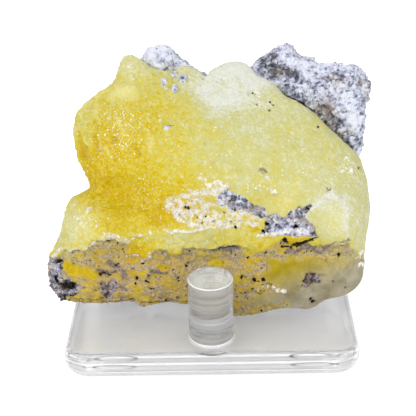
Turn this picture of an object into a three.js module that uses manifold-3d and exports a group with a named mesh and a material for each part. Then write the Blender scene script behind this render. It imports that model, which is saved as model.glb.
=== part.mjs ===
// A lump of lemon-yellow brucite grown on a slab of grey matrix rock. It leans back in a clear
// acrylic stand: a plate with one short peg in front of the stone and two tall pegs behind it.
// Millimetres, +Z up, +X to the viewer's right, +Y away from the viewer.
// The origin is the centre of the plate's underside.
import * as THREE from 'three';
import { ImprovedNoise } from 'three/addons/math/ImprovedNoise.js';
import { mergeVertices } from 'three/addons/utils/BufferGeometryUtils.js';
import Module from 'manifold-3d';

// The stand
const plateWidth = 66;
const plateDepth = 55;
const plateThickness = 6;
const plateCornerRadius = 6;
const plateEdgeRadius = 2.8;
const pegRadius = 5;
const pegEdge = 0.4;
const cementFillet = 0.6;
const frontPegHeight = 15;
const frontPegSetback = 8.5;
const rearPegHeight = 25;
const rearPegSetback = 11;
const rearPegSpacing = 49.5;

// How the stone sits: its face leans back from upright, and its foot stands behind the front peg
const leanDegrees = 22;
const footSetback = 17.5;
const footLift = 1;
const touchGap = 0.3;

// The stone's texture: grain and chipped ridges across the surface, and how its rims are rounded.
// A higher rim power is a blunter rim.
const coarseGrainSize = 7;
const fineGrainSize = 2.8;
const ridgeSize = 9;
const roundRim = 6;
const bluntRim = 14;
const rimCurve = 0.4;

// The stone is shaped lying on its back: x to the right, y up its face, z out of its face.
// Outline of the brucite, clockwise from the knob at the upper left
const bruciteHeart = [2, 32];
const bruciteMeanRadii = [34, 28];
const bruciteOutline = [
  [-20, 57.5], [-18.5, 59], [-15.5, 58.5], [-13, 56], [-8.5, 55], [-4, 56.5], [-0.5, 54], [2, 56],
  [8, 57], [12, 53], [14.5, 52.5], [18, 48.5], [21.5, 47], [30.5, 38.5], [34.5, 34.5], [36.7, 23],
  [35.5, 14.5], [34.5, 6], [30.5, 3], [25, 2], [23.5, 0], [18, 0.5], [10, -1], [6, -1.5],
  [0, 0], [-6, 1.5], [-13, 2], [-15.5, 1], [-18, 2.5], [-24, 2], [-34.5, 3], [-36.5, 4.5],
  [-38, 10], [-37.5, 13.5], [-35.5, 16], [-32, 26.5], [-30.5, 27.5], [-27, 28.5], [-29, 33], [-30.5, 38],
  [-30.5, 45], [-25, 50.5], [-21, 52.5],
];
// The face in profile, from foot to top: a rough lower face, an overhanging lip, then the broad
// upper face that falls back to a thin top edge. Each pair is a distance up the face and a height.
const faceProfile = [
  [-2, 3], [6, 5.5], [13, 6.5], [14.5, 8.3], [19, 9.2], [26, 8.5], [36, 7], [46, 5], [58, 2.5],
];
const lipWaver = 1.2;
const lipWaverLength = 5;
const lipPlace = 14;
const footRimHeight = 2.5;
const bruciteBackDepth = 3.5;
// Swellings and hollows of the face
const bruciteRelief = [
  { name: 'upper left dome', at: [-14, 41], radii: [22, 17], height: 4 },
  { name: 'rise between dome and slab', at: [3, 40], radii: [15, 15], height: 2.2 },
  { name: 'shelf under the dome', at: [-26, 21], radii: [13, 9], height: 3 },
  { name: 'groove between dome and shelf', at: [-21, 28], radii: [14, 5.5], height: -2.5 },
  { name: 'knob at the upper left corner', at: [-17, 56], radii: [5, 4.5], height: 2 },
  { name: 'right slab', at: [20, 33], radii: [21, 20], height: 2.5 },
  { name: 'crusted middle', at: [-2, 22], radii: [13, 7], height: 2.5 },
  { name: 'bulge on the right', at: [29, 20], radii: [9, 9], height: 3 },
  { name: 'pool above the ledge', at: [15, 25], radii: [9, 5], height: -2.5 },
  { name: 'notch in the lip', at: [-16.5, 15.5], radii: [4.5, 4], height: -3 },
  { name: 'smooth lower right swelling', at: [22, 7.5], radii: [14, 8], height: 2.5 },
  { name: 'foot behind the front peg', at: [3, 3], radii: [12, 7], height: 1.5 },
  { name: 'pit at the lower right', at: [24, 5.5], radii: [3.5, 3], height: -3 },
  { name: 'hollow at the lower left', at: [-33, 8], radii: [6, 4.5], height: -2.5 },
];

// Outline of the matrix slab, clockwise from the peak at the upper left
const matrixHeart = [5, 32];
const matrixMeanRadii = [33, 28];
const matrixOutline = [
  [-16, 57], [-14, 59.5], [-9.5, 61.5], [-6.5, 59], [-4, 56], [2, 53], [9, 54.5], [11.5, 57.5],
  [15, 59.5], [17.5, 61.5], [20, 59.5], [25, 56.5], [33.5, 56], [36.5, 54.5], [38.5, 51.5], [36.5, 48.5],
  [36.5, 43.5], [35, 35], [33, 22], [31.5, 9], [23, 3], [8, 2], [-8, 2.5], [-24, 3],
  [-35, 6.5], [-35.5, 11], [-32, 23], [-26.5, 28.5], [-29, 36], [-29, 44], [-23, 50.5],
];
const matrixRimDepth = 5;
const matrixFaceDepth = 1.5;
const matrixBackDepth = 10;
const matrixRelief = [
  { name: 'upper right block', at: [27, 51], radii: [13, 10], height: 3 },
  { name: 'peak of the block', at: [17, 58], radii: [5, 6], height: 2 },
  { name: 'corner of the block', at: [34, 52], radii: [5, 5], height: 1.5 },
  { name: 'hollow in the block', at: [18.5, 52.5], radii: [4, 3], height: -2.5 },
  { name: 'upper left peak', at: [-11, 59], radii: [6, 5], height: 1.5 },
];
// Swellings and hollows of the back, which touches the two rear pegs
const matrixBackRelief = [
  { name: 'keel between the rear pegs', at: [1, 23], radii: [16, 15], height: 4.5 },
  { name: 'back of the upper right block', at: [25, 49], radii: [13, 11], height: 3 },
  { name: 'upper left swelling', at: [-13, 46], radii: [13, 11], height: 2.5 },
  { name: 'broken hollow', at: [7, 44], radii: [9, 9], height: -2.5 },
  { name: 'shoulder on the left rear peg', at: [-24.5, 31], radii: [8, 7], height: 1.7 },
  { name: 'shoulder on the right rear peg', at: [24, 31], radii: [8, 7], height: 0.7 },
  { name: 'broken lower right corner', at: [27, 10], radii: [10, 9], height: -3 },
  { name: 'broken lower left corner', at: [-30, 9], radii: [9, 9], height: -3 },
];

const wasm = await Module();
wasm.setup();
const noise = new ImprovedNoise();

// Roughness of a broken surface: two sizes of grain added together
function grain(u, v, coarse, fine) {
  return coarse * noise.noise(u / coarseGrainSize, v / coarseGrainSize, 3.7)
    + fine * noise.noise(u / fineGrainSize, v / fineGrainSize, 8.1);
}

// Sharp ridges between shallow scoops, as where rock has chipped away
function ridges(u, v, height) {
  return height * (0.4 - 2 * Math.abs(noise.noise(u / ridgeSize, v / ridgeSize, 1.3)));
}

// Height of one swelling or hollow at a point, falling smoothly to nothing at its radii
function swell({ at, radii, height }, u, v) {
  const distance = Math.hypot((u - at[0]) / radii[0], (v - at[1]) / radii[1]);
  return distance < 1 ? height * (1 - distance ** 2) ** 2 : 0;
}

function reliefAt(list, u, v) {
  return list.reduce((sum, item) => sum + swell(item, u, v), 0);
}

// Value of a profile of straight runs at a place along it
function alongProfile(profile, place) {
  const next = profile.findIndex((knot) => knot[0] > place);
  if (next === 0) return profile[0][1];
  if (next < 0) return profile.at(-1)[1];
  const [startPlace, startValue] = profile[next - 1];
  const [endPlace, endValue] = profile[next];
  return THREE.MathUtils.mapLinear(place, startPlace, endPlace, startValue, endValue);
}

// A closed lump of rock. The equator of a ball is pulled out to the outline, and its two halves are
// raised to the heights of the face and the back, with a steep round rim. Towards its heart the
// outline gives way to an oval of its mean radii. The foot is kept clear of the plate.
function rockLump({ outline, heart, meanRadii, detail, rim, face, back }) {
  const ball = new THREE.IcosahedronGeometry(1, detail);
  ball.deleteAttribute('normal');
  ball.deleteAttribute('uv');
  const geometry = mergeVertices(ball, 1e-5);
  const edge = new THREE.CatmullRomCurve3(
    outline.map(([u, v]) => new THREE.Vector3(u, v, 0)), true, 'centripetal');
  edge.arcLengthDivisions = 1000;
  const start = Math.atan2(outline[0][0] - heart[0], outline[0][1] - heart[1]);
  const lean = THREE.MathUtils.degToRad(leanDegrees);
  const position = geometry.attributes.position;
  for (let i = 0; i < position.count; i += 1) {
    const share = Math.min(1, Math.hypot(position.getX(i), position.getY(i)));
    const turn = Math.atan2(position.getX(i), position.getY(i));
    const onEdge = edge.getPointAt(THREE.MathUtils.euclideanModulo((turn - start) / (2 * Math.PI), 1));
    const reachU = THREE.MathUtils.lerp(meanRadii[0] * Math.sin(turn), onEdge.x - heart[0], share ** 3);
    const reachV = THREE.MathUtils.lerp(meanRadii[1] * Math.cos(turn), onEdge.y - heart[1], share ** 3);
    const u = heart[0] + share * reachU;
    const v = heart[1] + share * reachV;
    const side = position.getZ(i) >= 0 ? face : back;
    const rise = (1 - share ** side.rimPower) ** rimCurve;
    const w = THREE.MathUtils.lerp(rim(u, v), side.height(u, v), rise);
    const lowest = (touchGap - footLift - w * Math.sin(lean)) / Math.cos(lean);
    position.setXYZ(i, u, Math.max(v, lowest), w);
  }
  geometry.computeVertexNormals();
  return geometry;
}

// Height of the brucite's face: its profile with a wavering lip, the relief, and a rougher lower face
function bruciteFaceHeight(u, v) {
  const profile = alongProfile(faceProfile, v + lipWaver * noise.noise(u / lipWaverLength, 0.4, 5.2));
  const lower = 1 - THREE.MathUtils.smoothstep(v, lipPlace - 2, lipPlace + 2);
  return profile + reliefAt(bruciteRelief, u, v) + grain(u, v, 0.5 + 0.5 * lower, 0.25 + 0.6 * lower);
}

function bruciteGeometry() {
  return rockLump({
    outline: bruciteOutline,
    heart: bruciteHeart,
    meanRadii: bruciteMeanRadii,
    detail: 15,
    rim: (u, v) => footRimHeight * (1 - THREE.MathUtils.smoothstep(v, 3, lipPlace)),
    face: { rimPower: roundRim, height: bruciteFaceHeight },
    back: { rimPower: bluntRim, height: (u, v) => grain(u, v, 0.4, 0.2) - bruciteBackDepth },
  });
}

function matrixFaceHeight(u, v) {
  return reliefAt(matrixRelief, u, v) + ridges(u, v, 1.2) + grain(u, v, 0.6, 0.8) - matrixFaceDepth;
}

function matrixBackHeight(u, v) {
  return -matrixBackDepth - reliefAt(matrixBackRelief, u, v) - ridges(u, v, 1.4) + grain(u, v, 0.8, 0.9);
}

function matrixGeometry() {
  return rockLump({
    outline: matrixOutline,
    heart: matrixHeart,
    meanRadii: matrixMeanRadii,
    detail: 8,
    rim: () => -matrixRimDepth,
    face: { rimPower: bluntRim, height: matrixFaceHeight },
    back: { rimPower: bluntRim, height: matrixBackHeight },
  });
}

// The same lump, larger all round by a margin
function grown(geometry, margin) {
  const copy = geometry.clone();
  const position = copy.attributes.position;
  const normal = copy.attributes.normal;
  const point = new THREE.Vector3();
  const outward = new THREE.Vector3();
  for (let i = 0; i < position.count; i += 1) {
    outward.fromBufferAttribute(normal, i);
    point.fromBufferAttribute(position, i).addScaledVector(outward, margin);
    position.setXYZ(i, point.x, point.y, point.z);
  }
  return copy;
}

function toSolid(geometry) {
  return new wasm.Manifold(new wasm.Mesh({
    numProp: 3,
    vertProperties: new Float32Array(geometry.attributes.position.array),
    triVerts: new Uint32Array(geometry.index.array),
  }));
}

function toGeometry(solid) {
  const mesh = solid.getMesh();
  const geometry = new THREE.BufferGeometry();
  geometry.setAttribute('position', new THREE.BufferAttribute(mesh.vertProperties, 3));
  geometry.setIndex(new THREE.BufferAttribute(mesh.triVerts, 1));
  geometry.computeVertexNormals();
  return geometry;
}

// The plate: a rounded rectangle of thick sheet, its edge polished to a full round
function plateGeometry() {
  const right = plateWidth / 2;
  const rear = plateDepth / 2;
  const inX = right - plateCornerRadius;
  const inY = rear - plateCornerRadius;
  const shape = new THREE.Shape();
  shape.absarc(inX, inY, plateCornerRadius, 0, Math.PI / 2);
  shape.absarc(-inX, inY, plateCornerRadius, Math.PI / 2, Math.PI);
  shape.absarc(-inX, -inY, plateCornerRadius, Math.PI, 1.5 * Math.PI);
  shape.absarc(inX, -inY, plateCornerRadius, 1.5 * Math.PI, 2 * Math.PI);
  const geometry = new THREE.ExtrudeGeometry(shape, {
    depth: plateThickness - 2 * plateEdgeRadius,
    bevelThickness: plateEdgeRadius,
    bevelSize: plateEdgeRadius,
    bevelOffset: -plateEdgeRadius,
    bevelSegments: 3,
    curveSegments: 3,
  });
  return geometry.translate(0, 0, plateEdgeRadius);
}

// A peg: a length of round rod standing on its cut end in a ring of clear cement
function pegGeometry(height) {
  const profile = [
    [0, 0],
    [pegRadius + cementFillet, 0],
    [pegRadius + cementFillet / 4, cementFillet / 4],
    [pegRadius, cementFillet],
    [pegRadius, height - pegEdge],
    [pegRadius - pegEdge, height],
    [0, height],
  ];
  const points = profile.map(([radius, rise]) => new THREE.Vector2(radius, rise));
  return new THREE.LatheGeometry(points, 28).rotateX(Math.PI / 2);
}

const bruciteLook = { color: '#d9d14e', roughness: 0.45, metalness: 0 };
const matrixLook = { color: '#a7abb5', roughness: 0.9, metalness: 0 };
const acrylicLook = { color: '#e4e8ea', roughness: 0.05, metalness: 0, transparent: true, opacity: 0.35 };

function named(name, geometry, look) {
  const mesh = new THREE.Mesh(geometry, new THREE.MeshStandardMaterial(look));
  mesh.name = name;
  return mesh;
}

const specimen = new THREE.Group();

specimen.add(named('base_plate', plateGeometry(), acrylicLook));

const pegs = [
  ['peg_front', frontPegHeight, 0, frontPegSetback - plateDepth / 2],
  ['peg_rear_left', rearPegHeight, -rearPegSpacing / 2, plateDepth / 2 - rearPegSetback],
  ['peg_rear_right', rearPegHeight, rearPegSpacing / 2, plateDepth / 2 - rearPegSetback],
];
for (const [name, height, x, y] of pegs) {
  const peg = named(name, pegGeometry(height), acrylicLook);
  peg.position.set(x, y, plateThickness);
  specimen.add(peg);
}

const brucite = bruciteGeometry();
const matrix = toGeometry(toSolid(matrixGeometry()).subtract(toSolid(grown(brucite, touchGap))));

const stone = new THREE.Group();
stone.position.set(0, footSetback - plateDepth / 2, plateThickness + footLift);
stone.rotation.x = THREE.MathUtils.degToRad(90 - leanDegrees);
stone.add(named('brucite', brucite, bruciteLook));
stone.add(named('matrix', matrix, matrixLook));
specimen.add(stone);

export default specimen;
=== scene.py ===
import math

import bpy
import numpy as np
from mathutils import Matrix, Vector, noise


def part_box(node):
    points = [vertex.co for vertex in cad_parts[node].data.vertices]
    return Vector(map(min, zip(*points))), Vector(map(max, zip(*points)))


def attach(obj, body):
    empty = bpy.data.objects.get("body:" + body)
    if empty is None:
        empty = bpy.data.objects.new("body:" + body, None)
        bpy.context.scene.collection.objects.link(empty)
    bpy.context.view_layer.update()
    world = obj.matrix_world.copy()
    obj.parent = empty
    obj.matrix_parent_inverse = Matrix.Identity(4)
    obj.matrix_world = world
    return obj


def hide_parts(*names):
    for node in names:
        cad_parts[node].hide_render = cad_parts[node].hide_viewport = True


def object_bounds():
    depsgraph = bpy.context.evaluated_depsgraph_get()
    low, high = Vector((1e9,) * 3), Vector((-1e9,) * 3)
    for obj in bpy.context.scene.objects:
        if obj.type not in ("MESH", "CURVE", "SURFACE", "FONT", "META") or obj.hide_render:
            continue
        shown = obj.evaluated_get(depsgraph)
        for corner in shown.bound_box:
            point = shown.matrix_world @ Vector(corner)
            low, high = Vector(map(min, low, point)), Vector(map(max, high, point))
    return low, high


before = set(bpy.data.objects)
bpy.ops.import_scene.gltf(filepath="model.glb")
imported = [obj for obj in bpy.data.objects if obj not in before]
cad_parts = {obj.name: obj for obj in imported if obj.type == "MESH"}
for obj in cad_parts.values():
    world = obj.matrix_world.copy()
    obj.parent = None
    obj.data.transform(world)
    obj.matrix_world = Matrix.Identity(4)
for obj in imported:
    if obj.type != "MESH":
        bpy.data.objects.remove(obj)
cad_low, cad_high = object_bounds()

# Base plate of the stand: 6 mm cast acrylic sheet, cut to a rounded rectangle. Its edge is polished
# to a full round, which bends the light into bright and dark bands.
MM = 0.001
plate_low, plate_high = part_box("base_plate")
plate_corner = 6 * MM
plate_edge = 2.8 * MM


def colour(code):
    """An sRGB hex colour as linear RGBA."""
    shades = [int(code[i:i + 2], 16) / 255 for i in (1, 3, 5)]
    linear = [s / 12.92 if s <= 0.04045 else ((s + 0.055) / 1.055) ** 2.4 for s in shades]
    return (*linear, 1.0)


def add_node(tree, kind, inputs=None, stops=(), **settings):
    """Adds a node, sets its properties and colour stops, and links or sets its inputs."""
    node = tree.nodes.new(kind)
    for name, value in settings.items():
        setattr(node, name, value)
    for number, (position, code) in enumerate(stops):
        elements = node.color_ramp.elements
        stop = elements[number] if number < len(elements) else elements.new(position)
        stop.position = position
        stop.color = colour(code)
    for name, value in (inputs or {}).items():
        if isinstance(value, bpy.types.NodeSocket):
            tree.links.new(value, node.inputs[name])
        else:
            node.inputs[name].default_value = value
    return node


def select_only(piece):
    """Makes one object the only selected one, and the active one."""
    bpy.ops.object.select_all(action="DESELECT")
    piece.select_set(True)
    bpy.context.view_layer.objects.active = piece


def apply_modifier(piece, kind, **settings):
    """Adds a modifier, sets it and applies it to the mesh."""
    modifier = piece.modifiers.new(kind.lower(), kind)
    for name, value in settings.items():
        setattr(modifier, name, value)
    select_only(piece)
    bpy.ops.object.modifier_apply(modifier=modifier.name)


def select_edges(piece, wanted):
    """Goes into edit mode with only the edges selected whose two ends pass a test."""
    bpy.ops.object.mode_set(mode="EDIT")
    bpy.ops.mesh.select_mode(type="EDGE")
    bpy.ops.mesh.select_all(action="DESELECT")
    bpy.ops.object.mode_set(mode="OBJECT")
    points = piece.data.vertices
    for edge in piece.data.edges:
        edge.select = wanted(*(points[i].co for i in edge.vertices))
    bpy.ops.object.mode_set(mode="EDIT")


# Clear cast acrylic: glassy and colourless, and hazy in patches on its flat top from wiping
acrylic = bpy.data.materials.new("clear_cast_acrylic")
acrylic.use_nodes = True
tree = acrylic.node_tree
tree.nodes.clear()
place = add_node(tree, "ShaderNodeTexCoord").outputs["Object"]
haze_size = 5 * MM
haze = add_node(tree, "ShaderNodeTexNoise", {
    "Vector": place, "Scale": 1 / haze_size, "Detail": 5.0, "Roughness": 0.7}).outputs["Fac"]
hazy = add_node(tree, "ShaderNodeMapRange", {
    "Value": haze, "From Min": 0.42, "From Max": 0.7, "To Max": 0.16}).outputs["Result"]
outward = add_node(tree, "ShaderNodeNewGeometry").outputs["Normal"]
plate_level = add_node(tree, "ShaderNodeSeparateXYZ", {"Vector": outward}).outputs["Z"]
flat_top = add_node(tree, "ShaderNodeMapRange", {
    "Value": plate_level, "From Min": 0.98, "From Max": 1.0}).outputs["Result"]
plate_roughness = add_node(tree, "ShaderNodeMath", {
    0: hazy, 1: flat_top, 2: 0.01}, operation="MULTIPLY_ADD").outputs[0]
acrylic_shader = add_node(tree, "ShaderNodeBsdfPrincipled", {
    "Base Color": colour("#fcfcfc"),
    "Roughness": plate_roughness,
    "IOR": 1.49,
    "Transmission Weight": 1.0,
}).outputs["BSDF"]
add_node(tree, "ShaderNodeOutputMaterial", {"Surface": acrylic_shader})

bpy.ops.object.select_all(action="DESELECT")
bpy.ops.mesh.primitive_cube_add(size=1, location=(plate_low + plate_high) / 2)
plate = bpy.context.object
plate.name = "acrylic_plate"
plate.scale = plate_high - plate_low
bpy.ops.object.transform_apply(location=True, rotation=True, scale=True)
select_edges(plate, lambda start, end: abs(start.z - end.z) > plate_edge)
bpy.ops.mesh.bevel(offset=plate_corner, segments=18, affect="EDGES")
bpy.ops.object.mode_set(mode="OBJECT")
apply_modifier(plate, "BEVEL", width=plate_edge, segments=14, limit_method="ANGLE")
bpy.ops.object.shade_smooth()
apply_modifier(plate, "WEIGHTED_NORMAL", weight=100)
plate.data.materials.append(acrylic)
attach(plate, "root")
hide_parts("base_plate")

# The three pegs: lengths of 10 mm clear acrylic rod, cut square and flame polished at the top. Each
# stands on its cut end, held by clear cement that wets only the rim of its foot and has crept out
# into a small ring round it.

# Clear extruded acrylic: colourless, with a grey haze in rings from turning. Its polished ends are
# brighter, and its rounded top edge and the cement at its foot are frosted white
rod = bpy.data.materials.new("clear_extruded_acrylic")
rod.use_nodes = True
tree = rod.node_tree
tree.nodes.clear()
place = add_node(tree, "ShaderNodeTexCoord").outputs["Object"]
haze_height = 0.9 * MM
haze_reach = 30 * MM
along_rod = add_node(tree, "ShaderNodeMapping", {
    "Vector": place,
    "Scale": (haze_reach, haze_reach, haze_height),
}, vector_type="TEXTURE").outputs["Vector"]
rings = add_node(tree, "ShaderNodeTexNoise", {
    "Vector": along_rod, "Scale": 1.0, "Detail": 2.0}).outputs["Fac"]
outward = add_node(tree, "ShaderNodeNewGeometry").outputs["Normal"]
rod_level = add_node(tree, "ShaderNodeSeparateXYZ", {"Vector": outward}).outputs["Z"]
steepness = add_node(tree, "ShaderNodeMath", {0: rod_level}, operation="ABSOLUTE").outputs[0]
polished = add_node(tree, "ShaderNodeMapRange", {
    "Value": steepness, "From Min": 0.1, "From Max": 0.5, "To Max": 0.72}).outputs["Result"]
off_slant = add_node(tree, "ShaderNodeMath", {0: rod_level, 1: 0.5}, operation="SUBTRACT").outputs[0]
off_slant = add_node(tree, "ShaderNodeMath", {0: off_slant}, operation="ABSOLUTE").outputs[0]
frosted = add_node(tree, "ShaderNodeMapRange", {
    "Value": off_slant, "From Min": 0.45, "From Max": 0.2}).outputs["Result"]
ring_clearness = add_node(tree, "ShaderNodeMapRange", {
    "Value": rings, "From Min": 0.35, "From Max": 0.65,
    "To Min": 0.6, "To Max": 0.86}).outputs["Result"]
rod_clearness = add_node(tree, "ShaderNodeMath", {
    0: ring_clearness, 1: polished}, operation="MAXIMUM").outputs[0]
rod_clearness = add_node(tree, "ShaderNodeMath", {
    0: frosted, 1: -0.75, 2: rod_clearness}, operation="MULTIPLY_ADD", use_clamp=True).outputs[0]
whiteness = add_node(tree, "ShaderNodeMath", {
    0: frosted, 1: rod_level}, operation="MAXIMUM").outputs[0]
rod_tint = add_node(tree, "ShaderNodeMixRGB", {
    "Fac": whiteness, "Color1": colour("#e6e7e8"), "Color2": colour("#ffffff")}).outputs["Color"]
rod_shader = add_node(tree, "ShaderNodeBsdfPrincipled", {
    "Base Color": rod_tint,
    "Roughness": 0.03,
    "IOR": 1.49,
    "Transmission Weight": rod_clearness,
}).outputs["BSDF"]
add_node(tree, "ShaderNodeOutputMaterial", {"Surface": rod_shader})

peg_radius = 5 * MM
peg_edge = 0.4 * MM
peg_sink = 0.05 * MM
cement_width = 0.8 * MM
dry_gap = 0.02 * MM

# The curve of the cement from its upper edge down: height on the rod and reach from it, in mm
cement_rings = [(0.6, 0.0), (0.35, 0.06), (0.18, 0.2), (0.06, 0.42)]
for node in ("peg_front", "peg_rear_left", "peg_rear_right"):
    peg_low, peg_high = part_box(node)
    axis = (peg_low + peg_high) / 2
    bpy.ops.object.select_all(action="DESELECT")
    bpy.ops.mesh.primitive_cylinder_add(
        vertices=96,
        radius=peg_radius,
        depth=peg_high.z - peg_low.z + peg_sink,
        location=axis - Vector((0, 0, peg_sink / 2)),
    )
    peg = bpy.context.object
    peg.name = "acrylic_" + node
    bpy.ops.object.transform_apply(location=True, rotation=True, scale=True)
    for ring_height, ring_reach in cement_rings:
        bpy.ops.object.mode_set(mode="EDIT")
        bpy.ops.mesh.select_all(action="SELECT")
        bpy.ops.mesh.bisect(
            plane_co=(axis.x, axis.y, peg_low.z + ring_height * MM), plane_no=(0, 0, 1))
        growth = 1 + ring_reach * MM / peg_radius
        bpy.ops.transform.resize(value=(growth, growth, 1), center_override=axis)
        bpy.ops.object.mode_set(mode="OBJECT")
    foot = peg_low.z - peg_sink / 2
    select_edges(peg, lambda start, end: max(start.z, end.z) < foot)
    bpy.ops.mesh.select_mode(type="FACE")
    bpy.ops.mesh.inset(thickness=cement_width)
    bpy.ops.transform.translate(value=(0, 0, peg_sink + dry_gap))
    bpy.ops.object.mode_set(mode="OBJECT")
    select_edges(peg, lambda start, end: max(start.z, end.z) < foot)
    foot_growth = (peg_high.x - peg_low.x) / 2 / peg_radius
    bpy.ops.transform.resize(value=(foot_growth, foot_growth, 1), center_override=axis)
    top = peg_high.z - peg_sink / 2
    select_edges(peg, lambda start, end: min(start.z, end.z) > top)
    bpy.ops.mesh.bevel(offset=peg_edge, segments=5, affect="EDGES")
    bpy.ops.object.mode_set(mode="OBJECT")
    bpy.ops.object.shade_smooth()
    apply_modifier(peg, "WEIGHTED_NORMAL", weight=100)
    peg.data.materials.append(rod)
    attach(peg, "root")
    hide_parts(node)

# The brucite: one translucent lemon-yellow mass, coarse as sugar on the dome and waxy on the right.
# White crust, grey rock and brown stain grew on its face, and black pits are broken into it.
# Places on its face are in mm across and up from the middle of its foot.
lean = math.radians(22)
stone_foot = Vector((0, plate_low.y + 17.5 * MM, plate_high.z + 1 * MM))


def stone_places(mesh):
    """How far across, up and out of the stone's face every vertex lies, in mm."""
    points = np.empty(len(mesh.vertices) * 3)
    mesh.vertices.foreach_get("co", points)
    across, back, rise = (points.reshape(-1, 3) - np.array(stone_foot)).T / MM
    up = back * math.sin(lean) + rise * math.cos(lean)
    out = rise * math.sin(lean) - back * math.cos(lean)
    return across, up, out


# Edges waver in the same way every time
noise.seed_set(4)


def wavered(across, up, size, amount):
    """The same places, shifted about as ragged edges are."""
    shifts = np.array([noise.noise_vector((u / size, v / size, 0.5)) for u, v in zip(across, up)])
    return across + amount * shifts[:, 0], up + amount * shifts[:, 1]


def distance_to(line, across, up, closed=False):
    """Distance in mm from every place to a line, counted negative inside a closed one."""
    ends = line[1:] + line[:1] if closed else line[1:]
    nearest = np.full(across.shape, np.inf)
    inside = np.zeros(across.shape, bool)
    for (start_u, start_v), (end_u, end_v) in zip(line, ends):
        run, climb = end_u - start_u, end_v - start_v
        share = ((across - start_u) * run + (up - start_v) * climb) / (run * run + climb * climb)
        share = np.clip(share, 0, 1)
        gap = np.hypot(across - start_u - share * run, up - start_v - share * climb)
        nearest = np.minimum(nearest, gap)
        crossed = (start_v > up) != (end_v > up)
        inside ^= closed & crossed & (across < start_u + (up - start_v) * run / (climb or 1))
    return np.where(inside, -nearest, nearest)


def soft_edge(distance, reach, blur):
    """1 nearer than a reach, 0 beyond it, over a soft edge."""
    return np.clip(0.5 + (reach - distance) / blur, 0, 1)


def areas(outlines, across, up, blur):
    """1 inside any of some closed outlines."""
    return np.max([soft_edge(distance_to(o, across, up, True), 0, blur) for o in outlines], 0)


def streaks(lines, across, up, blur):
    """1 along any of some lines, each given with its half width."""
    return np.max([soft_edge(distance_to(o, across, up), w, blur) for w, o in lines], 0)


def spots(places, across, up, blur):
    """1 in any of some round spots, each given by its middle and radius."""
    return np.max([soft_edge(np.hypot(across - u, up - v), r, blur) for u, v, r in places], 0)


def push(piece, height, weights, grain=0.0, kind="CLOUDS", **look):
    """Pushes the surface out by a height, or in and out by a texture of that grain, where weighted."""
    group = piece.vertex_groups.new(name="pushed")
    for index in np.flatnonzero(weights > 0.01):
        group.add([int(index)], float(weights[index]), "REPLACE")
    settings = {"vertex_group": group.name, "strength": height * MM, "mid_level": 0.0}
    if grain:
        texture = bpy.data.textures.new(f"{piece.name}_{kind.lower()}", kind)
        texture.noise_scale = grain * MM
        for name, value in look.items():
            setattr(texture, name, value)
        settings |= {"texture": texture, "texture_coords": "LOCAL", "mid_level": 0.5}
    apply_modifier(piece, "DISPLACE", **settings)
    piece.vertex_groups.clear()


def keep_mask(piece, name, values):
    """Keeps a value on every vertex for the material to read."""
    mask = piece.data.attributes.new(name, "FLOAT", "POINT")
    mask.data.foreach_set("value", values.astype(np.float32))


def keep_inside(piece, low, high):
    """Holds every vertex inside a box."""
    points = np.empty(len(piece.data.vertices) * 3)
    piece.data.vertices.foreach_get("co", points)
    held = np.clip(points.reshape(-1, 3), low, high)
    piece.data.vertices.foreach_set("co", held.ravel())
    piece.data.update()


def copy_of_node(name, node):
    """A new piece with a merged copy of a node's mesh."""
    piece = bpy.data.objects.new(name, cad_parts[node].data.copy())
    bpy.context.scene.collection.objects.link(piece)
    piece.data.materials.clear()
    select_only(piece)
    bpy.ops.mesh.customdata_custom_splitnormals_clear()
    bpy.ops.object.mode_set(mode="EDIT")
    bpy.ops.mesh.select_all(action="SELECT")
    bpy.ops.mesh.remove_doubles(threshold=0.005 * MM)
    bpy.ops.object.mode_set(mode="OBJECT")
    bpy.ops.object.shade_smooth()
    return piece


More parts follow.
